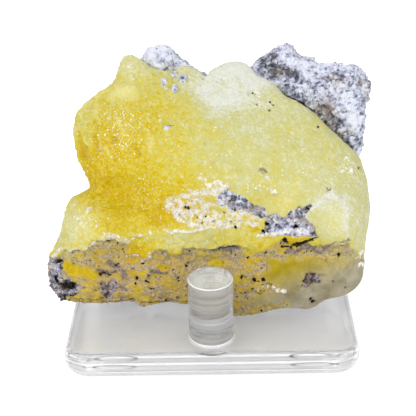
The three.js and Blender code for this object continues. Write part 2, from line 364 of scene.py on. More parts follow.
def granular_rock(tree, place, lightness):
    """Colour of the matrix rock: mottled, tan where it is darker, with dark and pale angular grains."""
    patch_size, mottle_size, weathering_size, grit_size = 5 * MM, 1.3 * MM, 6 * MM, 0.8 * MM
    patches, mottle, weathering, grit = (
        add_node(tree, "ShaderNodeTexNoise", {
            "Vector": place, "Scale": 1 / size, "Detail": 4.0, "Roughness": 0.65}).outputs["Fac"]
        for size in (patch_size, mottle_size, weathering_size, grit_size)
    )
    depth = mottle
    for pattern, strength in ((mottle, 0.25), (patches, 0.9), (lightness, 1.0)):
        centred = add_node(tree, "ShaderNodeMath", {
            0: pattern, 1: 0.5}, operation="SUBTRACT").outputs[0]
        depth = add_node(tree, "ShaderNodeMath", {
            0: centred, 1: strength, 2: depth}, operation="MULTIPLY_ADD").outputs[0]
    shade = add_node(tree, "ShaderNodeValToRGB", {"Fac": depth}, stops=[
        (0.2, "#2f313b"), (0.36, "#82869a"), (0.45, "#b0b4ca"),
        (0.56, "#cdd1e8"), (0.7, "#eaeefd")]).outputs["Color"]
    grain_size = 0.55 * MM
    grains = add_node(tree, "ShaderNodeTexVoronoi", {
        "Vector": place, "Scale": 1 / grain_size}).outputs["Color"]
    grain_pick = add_node(tree, "ShaderNodeSeparateColor", {"Color": grains}).outputs["Red"]
    grain_depth = add_node(tree, "ShaderNodeMath", {
        0: depth, 1: 0.6, 2: grain_pick}, operation="MULTIPLY_ADD").outputs[0]
    tanned = add_node(tree, "ShaderNodeMath", {
        0: lightness, 1: -0.6, 2: weathering}, operation="MULTIPLY_ADD").outputs[0]
    # Each blend's pattern, where it starts, where it is full, how strong it is then, and its colour
    blends = [
        (tanned, 0.2, 0.32, 0.55, "#b5a48f"),
        (grain_depth, 0.5, 0.4, 0.65, "#343743"),
        (grain_depth, 1.0, 1.2, 0.6, "#f4f6ff"),
        (grit, 0.4, 0.33, 0.75, "#1f2027"),
    ]
    for pattern, start, full, strength, code in blends:
        amount = add_node(tree, "ShaderNodeMapRange", {
            "Value": pattern,
            "From Min": start,
            "From Max": full,
            "To Max": strength,
        }).outputs["Result"]
        shade = add_node(tree, "ShaderNodeMixRGB", {
            "Fac": amount, "Color1": shade, "Color2": colour(code)}).outputs["Color"]
    return shade


brucite = copy_of_node("brucite_mass", "brucite")
apply_modifier(brucite, "SUBSURF", levels=1, render_levels=1)
out_of_face = Vector((0, -math.cos(lean), math.sin(lean)))
bpy.ops.object.mode_set(mode="EDIT")
bpy.ops.mesh.select_mode(type="FACE")
bpy.ops.mesh.select_all(action="DESELECT")
bpy.ops.object.mode_set(mode="OBJECT")
for face in brucite.data.polygons:
    face.select = face.normal.dot(out_of_face) > 0.05
bpy.ops.object.mode_set(mode="EDIT")
bpy.ops.mesh.subdivide(number_cuts=2)
bpy.ops.object.mode_set(mode="OBJECT")
apply_modifier(brucite, "SMOOTH", factor=0.5, iterations=3)

across, up, _ = stone_places(brucite.data)
normals = np.empty(len(brucite.data.vertices) * 3)
brucite.data.vertices.foreach_get("normal", normals)
facing = np.clip((normals.reshape(-1, 3) @ np.array(out_of_face) - 0.1) / 0.5, 0, 1)
ragged = wavered(*wavered(across, up, 2.4, 0.9), 0.7, 0.35)
crisp = wavered(across, up, 1.0, 0.3)
flaky = wavered(across, up, 0.9, 0.6)

# How yellow the mass is, from 0 for milky to 1 for deep golden: middle, radii and tone of each zone
tone_zones = [
    ("dome", (-18, 39), (9, 8), 0.8),
    ("dome's upper part", (-18, 47), (9, 3.5), 0.62),
    ("dome's golden foot", (-24, 31), (7, 6), 0.97),
    ("golden band under the dome", (-15, 25), (9, 4), 0.94),
    ("dome's left flank", (-29, 45), (3, 4.5), 0.5),
    ("dome's right part", (-10, 42), (5, 6), 0.64),
    ("pale facet", (-19, 51), (5, 2.5), 0.5),
    ("knob", (-17, 57), (4, 3), 0.26),
    ("beside the knob", (-11, 54), (4, 3), 0.45),
    ("between dome and slab", (-4, 41), (5, 6), 0.49),
    ("grey-green top", (-3, 54), (3, 3), 0.3),
    ("milky top", (5, 52), (7, 5.5), -0.17),
    ("slab's upper part", (14, 45), (8, 6), 0.3),
    ("slab", (16, 37), (12, 7), 0.38),
    ("slab's right part", (27, 34), (6, 6), 0.33),
    ("slab's left part", (2, 34), (7, 5), 0.4),
    ("slab's golden foot", (-6, 31), (5, 3), 0.75),
    ("pool", (17, 26), (6, 3.5), 0.47),
    ("right margin", (35, 24), (3, 12), 0.25),
    ("right bulge", (29, 22), (5, 5), 0.25),
    ("rim of the right bulge", (25, 25.5), (3, 1.6), 0.05),
    ("left shelf", (-29, 22), (4, 5), 0.36),
    ("shelf's left edge", (-33, 19), (3, 5), 0.32),
    ("shelf", (-21, 20), (6, 3), 0.74),
    ("lip", (-6, 17), (9, 2.5), 0.38),
    ("lip's right part", (8, 18), (5, 3), 0.56),
    ("notch", (-15.5, 15), (3, 2), 1.0),
    ("lower face", (-15, 8), (22, 6), 0.97),
    ("lower right face", (20, 8), (14, 6), 0.9),
    ("lower right corner", (33, 8), (4, 5), 0.35),
]
total_tone = np.zeros(across.shape)
total_weight = np.full(across.shape, 1e-6)
for _, (zone_u, zone_v), (radius_u, radius_v), zone_tone in tone_zones:
    far = ((across - zone_u) / radius_u) ** 2 + ((up - zone_v) / radius_v) ** 2
    weight = np.exp(-0.9 * far) + 0.001 / (1 + far)
    total_tone += weight * zone_tone
    total_weight += weight
tone = total_tone / total_weight

# The stained lower face below the lip, the olive swelling, and golden facets left clear of stain
lower_face_edge = [
    (-39, 12), (-35.3, 13.2), (-33, 15), (-27.8, 15.4), (-25.9, 17.2), (-24.7, 17.8), (-22.5, 17.6),
    (-19.5, 17), (-18.4, 15.8), (-18.5, 14), (-14.4, 12.8), (-13.3, 14.5), (-12, 15.3), (-10.3, 14.6),
    (-8.1, 13.1), (-5.8, 15), (-2, 15.3), (2.6, 14.6), (6.7, 15.3), (10.3, 14.2), (13.4, 15.4),
    (16.7, 17), (23.7, 15.2), (29.9, 16.9), (33, 13), (38, 12), (38, -4), (-40, -4),
]
olive_swelling = [
    (13.1, 11.7), (17.2, 12.8), (24, 12.3), (29.6, 11.3), (34, 13), (38, 12), (38, 2), (31, -2),
    (19, -3), (17.3, 1.9), (12.3, 1.4), (7.3, 1.9), (12.9, 4.7), (15.7, 5.1), (11.6, 8),
]
golden_facets = [
    [(8.1, 20.4), (10.3, 21), (11.6, 19.4), (9.4, 18.7)],
    [(10.3, 16.9), (12, 16.6), (11.6, 14.2), (10.5, 14.7)],
    [(17.1, 17.3), (22.4, 17.4), (22.1, 16.4), (17.8, 15.6)],
    [(-18.4, 13.5), (-17.2, 15.5), (-16.3, 16.2), (-12.2, 15.5), (-13.5, 14.7), (-14.3, 12.9),
     (-17.8, 13.3)],
    [(-34.5, 11.7), (-32.4, 12.3), (-31.6, 11.1), (-29, 10.4), (-26.7, 9.7), (-25.7, 8.3), (-26.8, 7.5),
     (-30.1, 8.6), (-32.1, 8.3), (-33.7, 9.8)],
]
lower_face = areas([lower_face_edge], *ragged, 0.8)
undercut = lower_face * facing * np.clip((4 - across) / 12, 0.15, 1)
olive = areas([olive_swelling], *wavered(*ragged, 3.0, 1.6), 1.8)
bare_gold = areas(golden_facets, *crisp, 0.6)
stain = lower_face * (1 - olive) * (1 - bare_gold)
greyness = np.clip((across - 15) / 19 + (9.6 - up) / 8, 0, 1)

# White crust: the patch in the middle, the crest of the lip, the rim of the right bulge, and flecks.
# The white lines on the crest and the bulge's rim are partly painted highlight, and many flecks on the
# dome, the slab and the left shelf are painted glints
crust_patches = [
    [(-9.7, 24.3), (-8.8, 26.7), (-7.4, 26.8), (-4.9, 28.6), (-2.2, 28.6), (3.6, 29.7), (4.6, 28.2),
     (6.5, 27), (8.6, 25.6), (10.8, 24.5), (12.9, 22.6), (10.7, 20.5), (8.1, 20.8), (5.8, 20.3),
     (-2.3, 20.6), (-4.9, 21.2), (-7.2, 22.1), (-7.9, 23.4)],
    [(-24.9, 18.4), (-21.8, 18.5), (-19, 17.7), (-18.4, 16.8), (-20.6, 16.8), (-23.2, 17.7),
     (-25, 17.7)],
]
crust_windows = [
    [(-1.5, 26.4), (-0.2, 27.2), (1.8, 26.6), (1.5, 25.6), (-0.5, 25.8)],
    [(-0.2, 24.5), (2.4, 24.9), (4, 24.4), (3.2, 23.5), (0.3, 23.8)],
    [(7, 22.4), (9, 23), (9.6, 22), (7.6, 21.4)],
]
bulge_rim = [(21.4, 21.8), (22.2, 23.4), (23.8, 25.3), (25.4, 26.6), (27.6, 26.9), (29.2, 25.7),
             (30.2, 23.8), (30.4, 21.4), (30.1, 19.5)]
crust_and_highlight_lines = [
    (0.4, [(-1.7, 32.2), (-2, 31.4), (-1.2, 30.6), (-0.1, 30), (2, 30.3), (3.6, 29.7)]),
    (0.25, [(-9.7, 24.3), (-8.8, 26.7), (-7.4, 26.8), (-4.9, 28.6), (-2.2, 28.6), (3.6, 29.7),
            (4.7, 28.6)]),
    (0.4, [(-8, 23.9), (-7.4, 22.7), (-5.7, 21.6), (-3.8, 20.9), (-1.6, 20.4), (1, 20.2), (5.8, 20.3)]),
    (0.45, [(-10.2, 19.8), (-8.2, 19.4), (-5.9, 19.6), (-2.7, 19.7), (0.3, 20.2)]),
    (0.3, [(-24.9, 18.5), (-23.5, 18.8), (-21.7, 18.7), (-20.4, 18.8), (-18.9, 17.9)]),
    (0.35, [(-17.6, 17.9), (-16, 18.6), (-15.1, 18.8)]),
    (0.4, [(-36.4, 13.4), (-35.4, 14.5), (-33.7, 15.1), (-32.5, 14.8), (-30.7, 15.4),
           (-28.5, 15.7), (-27.3, 15.5), (-26, 16.5), (-24.8, 18)]),
    (0.3, [(-18.6, 13.5), (-16.6, 13.2), (-15.2, 12.4), (-14, 13.1), (-13.7, 14.6), (-12, 15.2)]),
    (0.45, [(10.9, 18.1), (12.8, 18.4), (15.5, 18.9), (17.9, 19.1), (19.8, 19.1), (21.9, 18.5)]),
    (0.15, [(20.3, 37.1), (21.6, 36.7), (22.6, 35.6)]),
    (0.25, bulge_rim),
    (0.25, [(33.2, 21.1), (33.3, 19.1), (33.2, 17.5)]),
]
crust_flecks_and_glints = [
    (12.9, 31, 0.6), (14.3, 28, 0.7), (30.9, 34.8, 0.45), (29.7, 33.5, 0.35), (29.4, 31.9, 0.5),
    (31.7, 32.1, 0.6), (25.2, 30.5, 0.35), (31, 28.8, 0.4), (30.1, 26.9, 0.3), (34.2, 13.2, 0.7),
    (33.6, 12.1, 0.5), (34.4, 10.3, 0.7), (11.5, 6, 0.45), (12.8, 5.9, 0.4), (14.2, 5.6, 0.5),
    (15, 5.1, 0.5), (16.1, 4.8, 0.5), (16.9, 4.9, 0.4), (10.6, 4.8, 0.4), (-26.7, 24.5, 0.75),
    (-30.1, 23.1, 0.4), (-29.3, 22.5, 0.45), (-28.6, 21.7, 0.45), (-24.8, 21.2, 0.4),
    (-27.4, 19.4, 0.3), (-13.2, 19.2, 0.6), (-10.6, 44.1, 0.35), (23, 34.8, 0.2),
    (0.1, 42.6, 0.2), (-0.9, 41.3, 0.2), (1.9, 41.9, 0.2), (4.6, 40.9, 0.2), (10.3, 41, 0.25),
    (13.6, 43.5, 0.2), (-1.6, 35, 0.2), (-17.3, 53.9, 0.4), (-16.5, 53, 0.35),
    (-17.5, 55.8, 0.45), (-20.8, 46.7, 0.3), (-18.7, 45.3, 0.2), (-19.3, 43.9, 0.3),
    (-17, 42.7, 0.2), (-20.1, 40.8, 0.25), (-17.8, 49.1, 0.2), (-12.6, 47.8, 0.25),
    (-26.6, 44.2, 0.2), (-22.3, 39.1, 0.2), (-20.6, 39, 0.2), (-16.9, 32.6, 0.25),
    (-24, 31.9, 0.2), (-14.4, 33.5, 0.2),
]
crust_body = areas(crust_patches, *ragged, 0.9) * (1 - areas(crust_windows, *ragged, 0.8))
# White crust edges and flecks, with painted highlights and painted glints among them
crust_edges_and_glints = 0.85 * np.maximum(streaks(crust_and_highlight_lines, *ragged, 1.6), spots(crust_flecks_and_glints, *flaky, 1.0))
halo = 0.95 * streaks([(0.35, bulge_rim)], *ragged, 1.9)
tone = np.maximum(tone * (1 - halo) - 0.12 * halo, 0.97 * bare_gold)

# Facets on the dome that catch the light, pale ridges between them, and deep golden grooves. The light
# on the facets and ridges is a painted highlight
light_catching_facet = [(-21, 52.1), (-22, 50), (-22.1, 49.3), (-19.5, 48.8), (-16.2, 48.9), (-15.8, 50),
              (-16.4, 51.7)]
left_flank = [(-25.5, 49), (-24.9, 45.7), (-25.5, 43.6), (-24.5, 40.6), (-23.2, 38.1), (-27, 35),
              (-34, 36), (-34, 50)]
dome_ridges = [
    (0.3, [(-22.6, 51.2), (-25, 50), (-25.7, 48.5), (-25.3, 46.7), (-25.6, 45)]),
    (0.25, [(-24.8, 41.6), (-24.5, 40.2), (-23.7, 38.5), (-22.6, 37.7), (-21.9, 36.6)]),
    (0.3, [(-28.8, 40.8), (-28, 39.7), (-27.4, 38.9)]),
    (0.35, [(-29.8, 45.9), (-28.2, 47.2), (-26.7, 48.5)]),
    (0.2, [(-19.7, 44.4), (-19, 42.4), (-18.6, 40.8)]),
    (0.2, [(-13.5, 41.5), (-12.3, 39.5), (-12.4, 37.4)]),
]
dome_grooves = [
    (0.35, [(-25.5, 43.8), (-25, 42.9), (-25.6, 40.8), (-24.8, 38.6)]),
    (0.6, [(-29.6, 41), (-29.1, 38.9), (-28.4, 36.3)]),
    (0.4, [(-21.2, 39.8), (-20.2, 38.2), (-20.4, 36)]),
    (0.4, [(-16.3, 38.6), (-15.4, 36.8)]),
]
ridges = streaks(dome_ridges, *ragged, 1.2)
grooves = streaks(dome_grooves, *ragged, 1.0)
facet = areas([light_catching_facet], *ragged, 2.2)
# Painted highlight on places that catch the light: the knob, the left shelf, the right bulge, the lip
# and the pool
lit_places = [(-17, 56.5, 3), (-28.5, 21.5, 3.5), (29, 22, 3.5), (-4, 17, 1.5), (17, 26, 3)]
lit = spots(lit_places, *ragged, 5.0)
tone = np.clip(tone + 0.22 * grooves, -0.2, 1)

# Grey rock left on the face: an arm and the V below it, a pit, the lower left corner, and nodules
rock_arm = [
    (3.7, 28.8), (4.9, 28.5), (6.5, 26.9), (8.9, 25.8), (10.9, 24.9), (12.2, 23.8), (13, 22.3),
    (11.7, 21.7), (10.2, 22.8), (8.3, 23.6), (5.9, 23.8), (3.3, 25.1), (1.8, 25.4), (1.8, 26.7),
    (3, 27.7),
]
rock_v = [
    (10.7, 18.4), (12.3, 19.2), (12.6, 20.8), (12.9, 22.6), (15, 22.6), (16.1, 22.3), (18, 23.6),
    (19.9, 24.4), (22.2, 24.9), (22.1, 23.7), (20.9, 21.8), (22.4, 20.4), (23.5, 19.6),
    (23.7, 17.3), (19.8, 17.7), (16, 18.2), (12.8, 18.1),
]
rock_corner = [
    (-38, 12.7), (-35.9, 13.4), (-34.5, 12.2), (-34.5, 11), (-34, 9), (-32.4, 7.9), (-28.6, 6),
    (-30.9, 5.1), (-32.2, 3.7), (-34.6, 2.5), (-38, 3),
]
grey_patch = [(-26, 5.3), (-24.6, 6.7), (-22.8, 7.7), (-21.5, 7.4), (-21, 6), (-21.6, 4.6),
              (-22.8, 3.5), (-24.3, 3.2), (-25.6, 4.2)]
rock_pit = [(20.7, 6.3), (20.9, 7.5), (22.2, 9.2), (24.6, 8.4), (25, 7.2), (24.4, 6.2), (22.7, 6),
            (21.3, 5.7)]
rock_nodules = [
    (-9.7, 52.4, 0.95), (-7.4, 50.8, 0.85), (-5.4, 53, 1.1), (-7.3, 53.9, 0.7), (-9.3, 42.5, 0.7),
    (-8.5, 42.4, 0.55), (-9.2, 50.9, 0.35),
]
nodules = spots(rock_nodules, *flaky, 0.5)
rock_patches = [rock_arm, rock_v, rock_corner, grey_patch, rock_pit]
rock = np.maximum(areas(rock_patches, *ragged, 0.9), nodules)
earthy = np.where(across < -28, 0.5, 1.0) * np.clip(14 - up, 0, 1)
dark_bands = [
    (0.5, [(-36.8, 11.2), (-35.6, 11.8), (-34.6, 12)]),
    (0.4, [(-36.8, 9.8), (-35.4, 9.2)]),
    (0.9, [(-36.4, 8), (-35.2, 6.7), (-33.4, 6.2), (-31.6, 6.6)]),
    (0.6, [(21, 6.2), (21.4, 7.8), (22.3, 8.8)]),
]
darkness = np.maximum(streaks(dark_bands, *ragged, 1.6), np.where(up < 35, 0.45, 0.0))

# Black pits and cracks, and lilac-brown smears. The crack under the right ledge is partly painted
# shadow, and one brown line below it is painted shadow
# The first two lines are the crack under the right ledge: a real crack, drawn black partly as painted
# shadow beneath the ledge
pit_lines = [
    (0.5, [(16.3, 15), (17.1, 14.7), (18, 14.9), (18.6, 15.2), (19.3, 15.1), (20, 15.6), (20.9, 15.8),
           (21.6, 16.3), (22.5, 16.5), (23, 17), (23.8, 17.2)]),
    (0.7, [(19.2, 15.2), (20.4, 15.6), (21.4, 16)]),
    (0.35, [(20.7, 5.7), (20.8, 6.7), (21.5, 7.2)]),
    (0.3, [(21.9, 9), (22.6, 8.9)]),
    (0.2, [(24.3, 8.2), (25.4, 8.4)]),
    (0.5, [(-25.4, 9.1), (-24, 8.9), (-22.8, 8.8)]),
    (0.5, [(-36.6, 11), (-35.5, 11.8), (-34.6, 11.9)]),
    (0.55, [(-36.2, 8.2), (-35.2, 7), (-33.6, 6.4), (-32, 6.6)]),
    (0.4, [(-34.4, 3), (-32.6, 3.6), (-31, 4.6)]),
    (0.25, [(-10.9, 14.1), (-9.9, 13.8)]),
    (0.35, [(1.9, 14.7), (3.3, 15.4), (4.7, 15.1), (6.1, 15.3)]),
]
pit_spots = [
    (8.4, 5.1, 0.25), (9.3, 5.2, 0.25), (11.7, 6.2, 0.2), (12.6, 6.4, 0.25), (13.5, 6.2, 0.25),
    (9.8, 7.4, 0.4), (11.7, 7.4, 0.4), (7.1, 8.4, 0.3), (7.4, 7.9, 0.3), (6.8, 4.3, 0.25),
    (28.9, 12.8, 0.5), (26.2, 11.8, 0.2), (27.8, 6.7, 0.2), (30.8, 4.9, 0.25), (22.8, 2.4, 0.35),
    (23.3, 1.8, 0.4), (-21.6, 10.9, 0.45), (-36.5, 8.3, 0.4), (19, 20, 0.5), (21.4, 24, 0.4),
    (12.8, 20.9, 0.35), (11.7, 18.9, 0.35), (5.8, 24.2, 0.35), (4.4, 28.6, 0.25), (5.8, 20, 0.45),
    (-5.3, 25, 0.2), (-4.7, 24.7, 0.28), (-6.6, 23.2, 0.28), (-0.7, 22.9, 0.26), (1, 21.8, 0.28),
    (-2.7, 22.7, 0.26), (-3.7, 26.2, 0.24), (3.4, 23.7, 0.26), (4.8, 21.3, 0.28),
    (-1.6, 21.3, 0.24), (16.5, 16.6, 0.5), (17.1, 15.9, 0.45), (-31.6, 13.8, 0.3),
    (-28.8, 13.3, 0.25), (-31.4, 11.1, 0.2), (-22.5, 16.7, 0.35), (-8.3, 13, 0.2),
    (-17.1, 7.7, 0.3), (-13.1, 5.1, 0.3), (-5.5, 10.8, 0.3), (-7.5, 8.1, 0.25),
    (-26.4, 4.7, 0.25), (-7.6, 2.9, 0.25), (-24.9, 2.9, 0.4), (-1, 53, 0.2), (24.7, 42.1, 0.3),
    (3.3, 53, 0.15), (9.4, 49.5, 0.15), (10.2, 49.8, 0.15), (10.6, 49.4, 0.15),
    (13.9, 47.7, 0.25), (14.6, 47.1, 0.2), (13.7, 45.9, 0.2), (11, 47.3, 0.2), (10.7, 46.3, 0.15),
    (-0.6, 38.7, 0.2), (34, 32.5, 0.3),
]
smear_and_shadow_lines = [
    (1.0, [(0.4, 14.7), (3.1, 15), (6.2, 15)]),
    # Painted shadow: the brown line just below the crack under the right ledge
    (0.8, [(16.9, 14.2), (19.1, 14), (21.2, 14.6), (23.4, 15.2)]),
    (0.5, [(16, 16.9), (16.9, 16.3), (16.3, 15.1)]),
    (0.6, [(22.9, 15), (23.8, 13.7), (25.1, 14.3), (26, 15.3), (27, 16.2), (28.6, 16.5), (30.8, 17.2)]),
    (0.65, [(11.3, 33), (11.9, 32.7), (12.6, 32.2)]),
    (0.65, [(26.2, 28.3), (27.1, 27.7)]),
    (0.7, [(-21, 6), (-19, 5.4)]),
    (0.9, [(-22.7, 11.3), (-20.2, 9.9), (-19.8, 8.4)]),
    (0.8, [(-25.8, 9.7), (-22.1, 9.4)]),
    (0.9, [(-13.3, 9.6), (-10.5, 9.2)]),
    (0.5, [(-11, 14.5), (-8.9, 14)]),
    (0.5, [(-25, 17.4), (-23.2, 17.5), (-21.9, 16.5)]),
]
pits = np.maximum(0.66 * streaks(pit_lines, *flaky, 0.8), 0.95 * spots(pit_spots, *crisp, 0.5))
smears_and_shadow = 0.75 * streaks(smear_and_shadow_lines, *ragged, 1.9)

# Where painted glints, white specks that stand for highlights on the grains, sparkle: thick on the dome
# and the left shelf, in clusters on the slab
sparkle_zones = [
    ((-20, 42), (9, 10), 1.0), ((-14, 27), (11, 7), 0.75), ((-28, 22), (6, 4), 1.0),
    ((11, 49.5), (1.8, 1.8), 1.3), ((11, 46.8), (1.6, 1.2), 1.3), ((13.9, 47.8), (1.2, 1.4), 1.3),
    ((3, 53), (2, 1.5), 1.1), ((30.5, 33), (3, 3), 1.2), ((10, 29), (6, 3), 0.9),
    ((-16, 18), (6, 1.5), 1.0),
]
sparkle = np.full(across.shape, 0.35)
for (zone_u, zone_v), (radius_u, radius_v), amount in sparkle_zones:
    far = ((across - zone_u) / radius_u) ** 2 + ((up - zone_v) / radius_v) ** 2
    sparkle = np.maximum(sparkle, amount * np.exp(-far))
crystalline = (1 - lower_face) * (1 - rock) * (1 - crust_body)
sugary = crystalline * np.maximum(np.clip((4 - across) / 12, 0.35, 1), 0.8 * (up < 21) * (across < 14))

brucite_masks = {
    "tone": tone, "stain": stain, "olive": olive, "greyness": greyness,
    "crust": crust_body, "crust_edge_and_glint": crust_edges_and_glints,
    "rock": rock, "darkness": darkness, "earthy": earthy,
    "pit": pits, "smear": smears_and_shadow,
    "sparkle": sparkle * crystalline, "sugary": sugary,
    # bright: the painted highlight on the facets, ridges and lit places
    "bright": np.max([0.6 * facet, 0.55 * ridges, 0.3 * lit], 0),
}
for name, values in brucite_masks.items():
    keep_mask(brucite, name, values)

# Its relief: how far out or in, where, and the size of the roughness where it is rough, in mm
top_notch = [(0.5, [(-0.4, 58), (-0.5, 54.6)])]
push(brucite, -1.8, streaks(top_notch, across, up, 1.0))
push(brucite, 0.4, np.maximum(facet, ridges))
push(brucite, -0.5, grooves * facing)
push(brucite, -0.4, facing * areas([left_flank], *crisp, 1.2))
push(brucite, -0.8, undercut)
push(brucite, 1.0, stain, 3.0, noise_type="HARD_NOISE")
push(brucite, 0.7, stain, 1.0)
push(brucite, 0.4, np.maximum(crust_body * 0.6, crust_edges_and_glints))
push(brucite, 0.9, np.maximum(crust_body, crust_edges_and_glints * 0.5), 1.1)
push(brucite, 1.1, rock, 1.8, noise_type="HARD_NOISE")
push(brucite, 0.6, rock, 0.7)
push(brucite, 0.7, nodules)
push(brucite, -1.0, pits)
push(brucite, 0.6, crystalline, 4.0)
push(brucite, 0.5, sugary, 2.2, noise_type="HARD_NOISE")
push(brucite, -0.4, sugary, 1.1, kind="VORONOI")
push(brucite, 0.25, crystalline * (1 - 0.7 * olive), 0.7)
stone_low = Vector((cad_low.x, cad_low.y, plate_high.z))
keep_inside(brucite, stone_low, cad_high)

# Massive brucite: waxy and translucent, so light soaks in and the yellow deepens where it is thick
brucite_skin = bpy.data.materials.new("massive_brucite")
brucite_skin.use_nodes = True
tree = brucite_skin.node_tree
tree.nodes.clear()
place = add_node(tree, "ShaderNodeTexCoord").outputs["Object"]
masks = {
    name: add_node(tree, "ShaderNodeAttribute", attribute_name=name).outputs["Fac"]
    for name in brucite_masks
}
fleck_size = 0.5 * MM
flecks = add_node(tree, "ShaderNodeTexNoise", {
    "Vector": place, "Scale": 1 / fleck_size, "Detail": 3.0, "Roughness": 0.6}).outputs["Fac"]
cloud_size = 4 * MM
clouds = add_node(tree, "ShaderNodeTexNoise", {
    "Vector": place, "Scale": 1 / cloud_size, "Detail": 6.0, "Roughness": 0.68}).outputs["Fac"]

# Fine fibres run down to the right, in swirls
swirl_size = 8 * MM
swirl_reach = 5 * MM
swirl = add_node(tree, "ShaderNodeTexNoise", {
    "Vector": place, "Scale": 1 / swirl_size, "Detail": 1.0}).outputs["Color"]
bent_place = add_node(tree, "ShaderNodeVectorMath", {
    0: swirl,
    1: (swirl_reach, swirl_reach, swirl_reach),
    2: place,
}, operation="MULTIPLY_ADD").outputs["Vector"]
fibre_length = 4.5 * MM
fibre_width = 0.4 * MM
along_fibres = add_node(tree, "ShaderNodeMapping", {
    "Vector": bent_place,
    "Rotation": (0, math.radians(35), 0),
    "Scale": (fibre_length, fibre_width, fibre_width),
}, vector_type="TEXTURE").outputs["Vector"]
fibres = add_node(tree, "ShaderNodeTexNoise", {
    "Vector": along_fibres, "Scale": 1.0, "Detail": 3.0}).outputs["Fac"]

# Coarse striae run down the dome
stria_length = 5 * MM
stria_width = 0.8 * MM
along_striae = add_node(tree, "ShaderNodeMapping", {
    "Vector": place,
    "Rotation": (0, math.radians(78), 0),
    "Scale": (stria_length, stria_width, stria_width),
}, vector_type="TEXTURE").outputs["Vector"]
striae = add_node(tree, "ShaderNodeTexNoise", {
    "Vector": along_striae, "Scale": 1.0, "Detail": 3.0}).outputs["Fac"]
stria_strength = add_node(tree, "ShaderNodeMath", {
    0: masks["sugary"], 1: 0.5}, operation="MULTIPLY").outputs[0]

# The tone of a place, made uneven by clouds, fibres and flecks, and stronger flecks where it is sugary
fleck_strength = add_node(tree, "ShaderNodeMapRange", {
    "Value": masks["sugary"], "To Min": 0.25, "To Max": 1.1}).outputs["Result"]
body_tone = masks["tone"]
uneven = [(clouds, 0.6), (fibres, 0.55), (striae, stria_strength), (flecks, fleck_strength)]
for pattern, strength in uneven:
    centred = add_node(tree, "ShaderNodeMath", {0: pattern, 1: 0.5}, operation="SUBTRACT").outputs[0]
    body_tone = add_node(tree, "ShaderNodeMath", {
        0: centred, 1: strength, 2: body_tone}, operation="MULTIPLY_ADD").outputs[0]
body = add_node(tree, "ShaderNodeValToRGB", {"Fac": body_tone}, stops=[
    (0.0, "#e2e4da"), (0.25, "#d2d19e"), (0.4, "#cfcb82"), (0.55, "#d6c95a"), (0.75, "#d6c024"),
    (0.9, "#d3b704"), (1.0, "#caa800")]).outputs["Color"]

# Pale grains in the mass, milky blots under its skin, brown mottling, and painted glints: white specks
# that stand for sparkling highlights
grain_size = 0.6 * MM
grains = add_node(tree, "ShaderNodeTexVoronoi", {
    "Vector": place, "Scale": 1 / grain_size}).outputs["Color"]
grain_pick = add_node(tree, "ShaderNodeSeparateColor", {"Color": grains}).outputs["Red"]
pale_grain = add_node(tree, "ShaderNodeMapRange", {
    "Value": grain_pick, "From Min": 0.6, "From Max": 1.0, "To Max": 0.2}).outputs["Result"]
pale_reach = add_node(tree, "ShaderNodeMapRange", {
    "Value": masks["tone"], "From Min": 0.6, "From Max": 0.95,
    "To Min": 1.0, "To Max": 0.3}).outputs["Result"]
pale_amount = pale_grain
for share in (pale_reach, masks["sugary"]):
    pale_amount = add_node(tree, "ShaderNodeMath", {
        0: pale_amount, 1: share}, operation="MULTIPLY").outputs[0]
blot_size = 1.6 * MM
blots = add_node(tree, "ShaderNodeTexNoise", {
    "Vector": bent_place, "Scale": 1 / blot_size, "Detail": 4.0, "Roughness": 0.6}).outputs["Fac"]
milkiness = add_node(tree, "ShaderNodeMapRange", {
    "Value": blots, "From Min": 0.56, "From Max": 0.72}).outputs["Result"]
milky_reach = add_node(tree, "ShaderNodeMapRange", {
    "Value": masks["tone"], "From Min": 0.4, "From Max": 0.8,
    "To Min": 0.5, "To Max": 0.1}).outputs["Result"]
milky_amount = add_node(tree, "ShaderNodeMath", {
    0: milkiness, 1: milky_reach}, operation="MULTIPLY").outputs[0]
brown_amount = add_node(tree, "ShaderNodeMapRange", {
    "Value": blots, "From Min": 0.42, "From Max": 0.28, "To Max": 0.22}).outputs["Result"]
glint_size = 0.42 * MM
glint_noise = add_node(tree, "ShaderNodeTexNoise", {
    "Vector": place, "Scale": 1 / glint_size, "Detail": 1.0}).outputs["Fac"]
glint_chance = add_node(tree, "ShaderNodeMath", {
    0: masks["sparkle"], 1: 0.16, 2: glint_noise}, operation="MULTIPLY_ADD").outputs[0]
glints = add_node(tree, "ShaderNodeMapRange", {
    "Value": glint_chance, "From Min": 0.77, "From Max": 0.83}).outputs["Result"]

# The olive swelling: cloudy, and greyer towards its lower right
cloudiness = add_node(tree, "ShaderNodeMapRange", {
    "Value": clouds, "From Min": 0.35, "From Max": 0.65}).outputs["Result"]
olive_shades = [
    add_node(tree, "ShaderNodeMixRGB", {
        "Fac": cloudiness, "Color1": colour(dark), "Color2": colour(light)}).outputs["Color"]
    for dark, light in (("#94830a", "#b7a323"), ("#878070", "#b7b0a0"))
]
olive_shade = add_node(tree, "ShaderNodeMixRGB", {
    "Fac": masks["greyness"], "Color1": olive_shades[0], "Color2": olive_shades[1]}).outputs["Color"]
olive_amount = add_node(tree, "ShaderNodeMath", {
    0: masks["olive"], 1: 0.9}, operation="MULTIPLY").outputs[0]

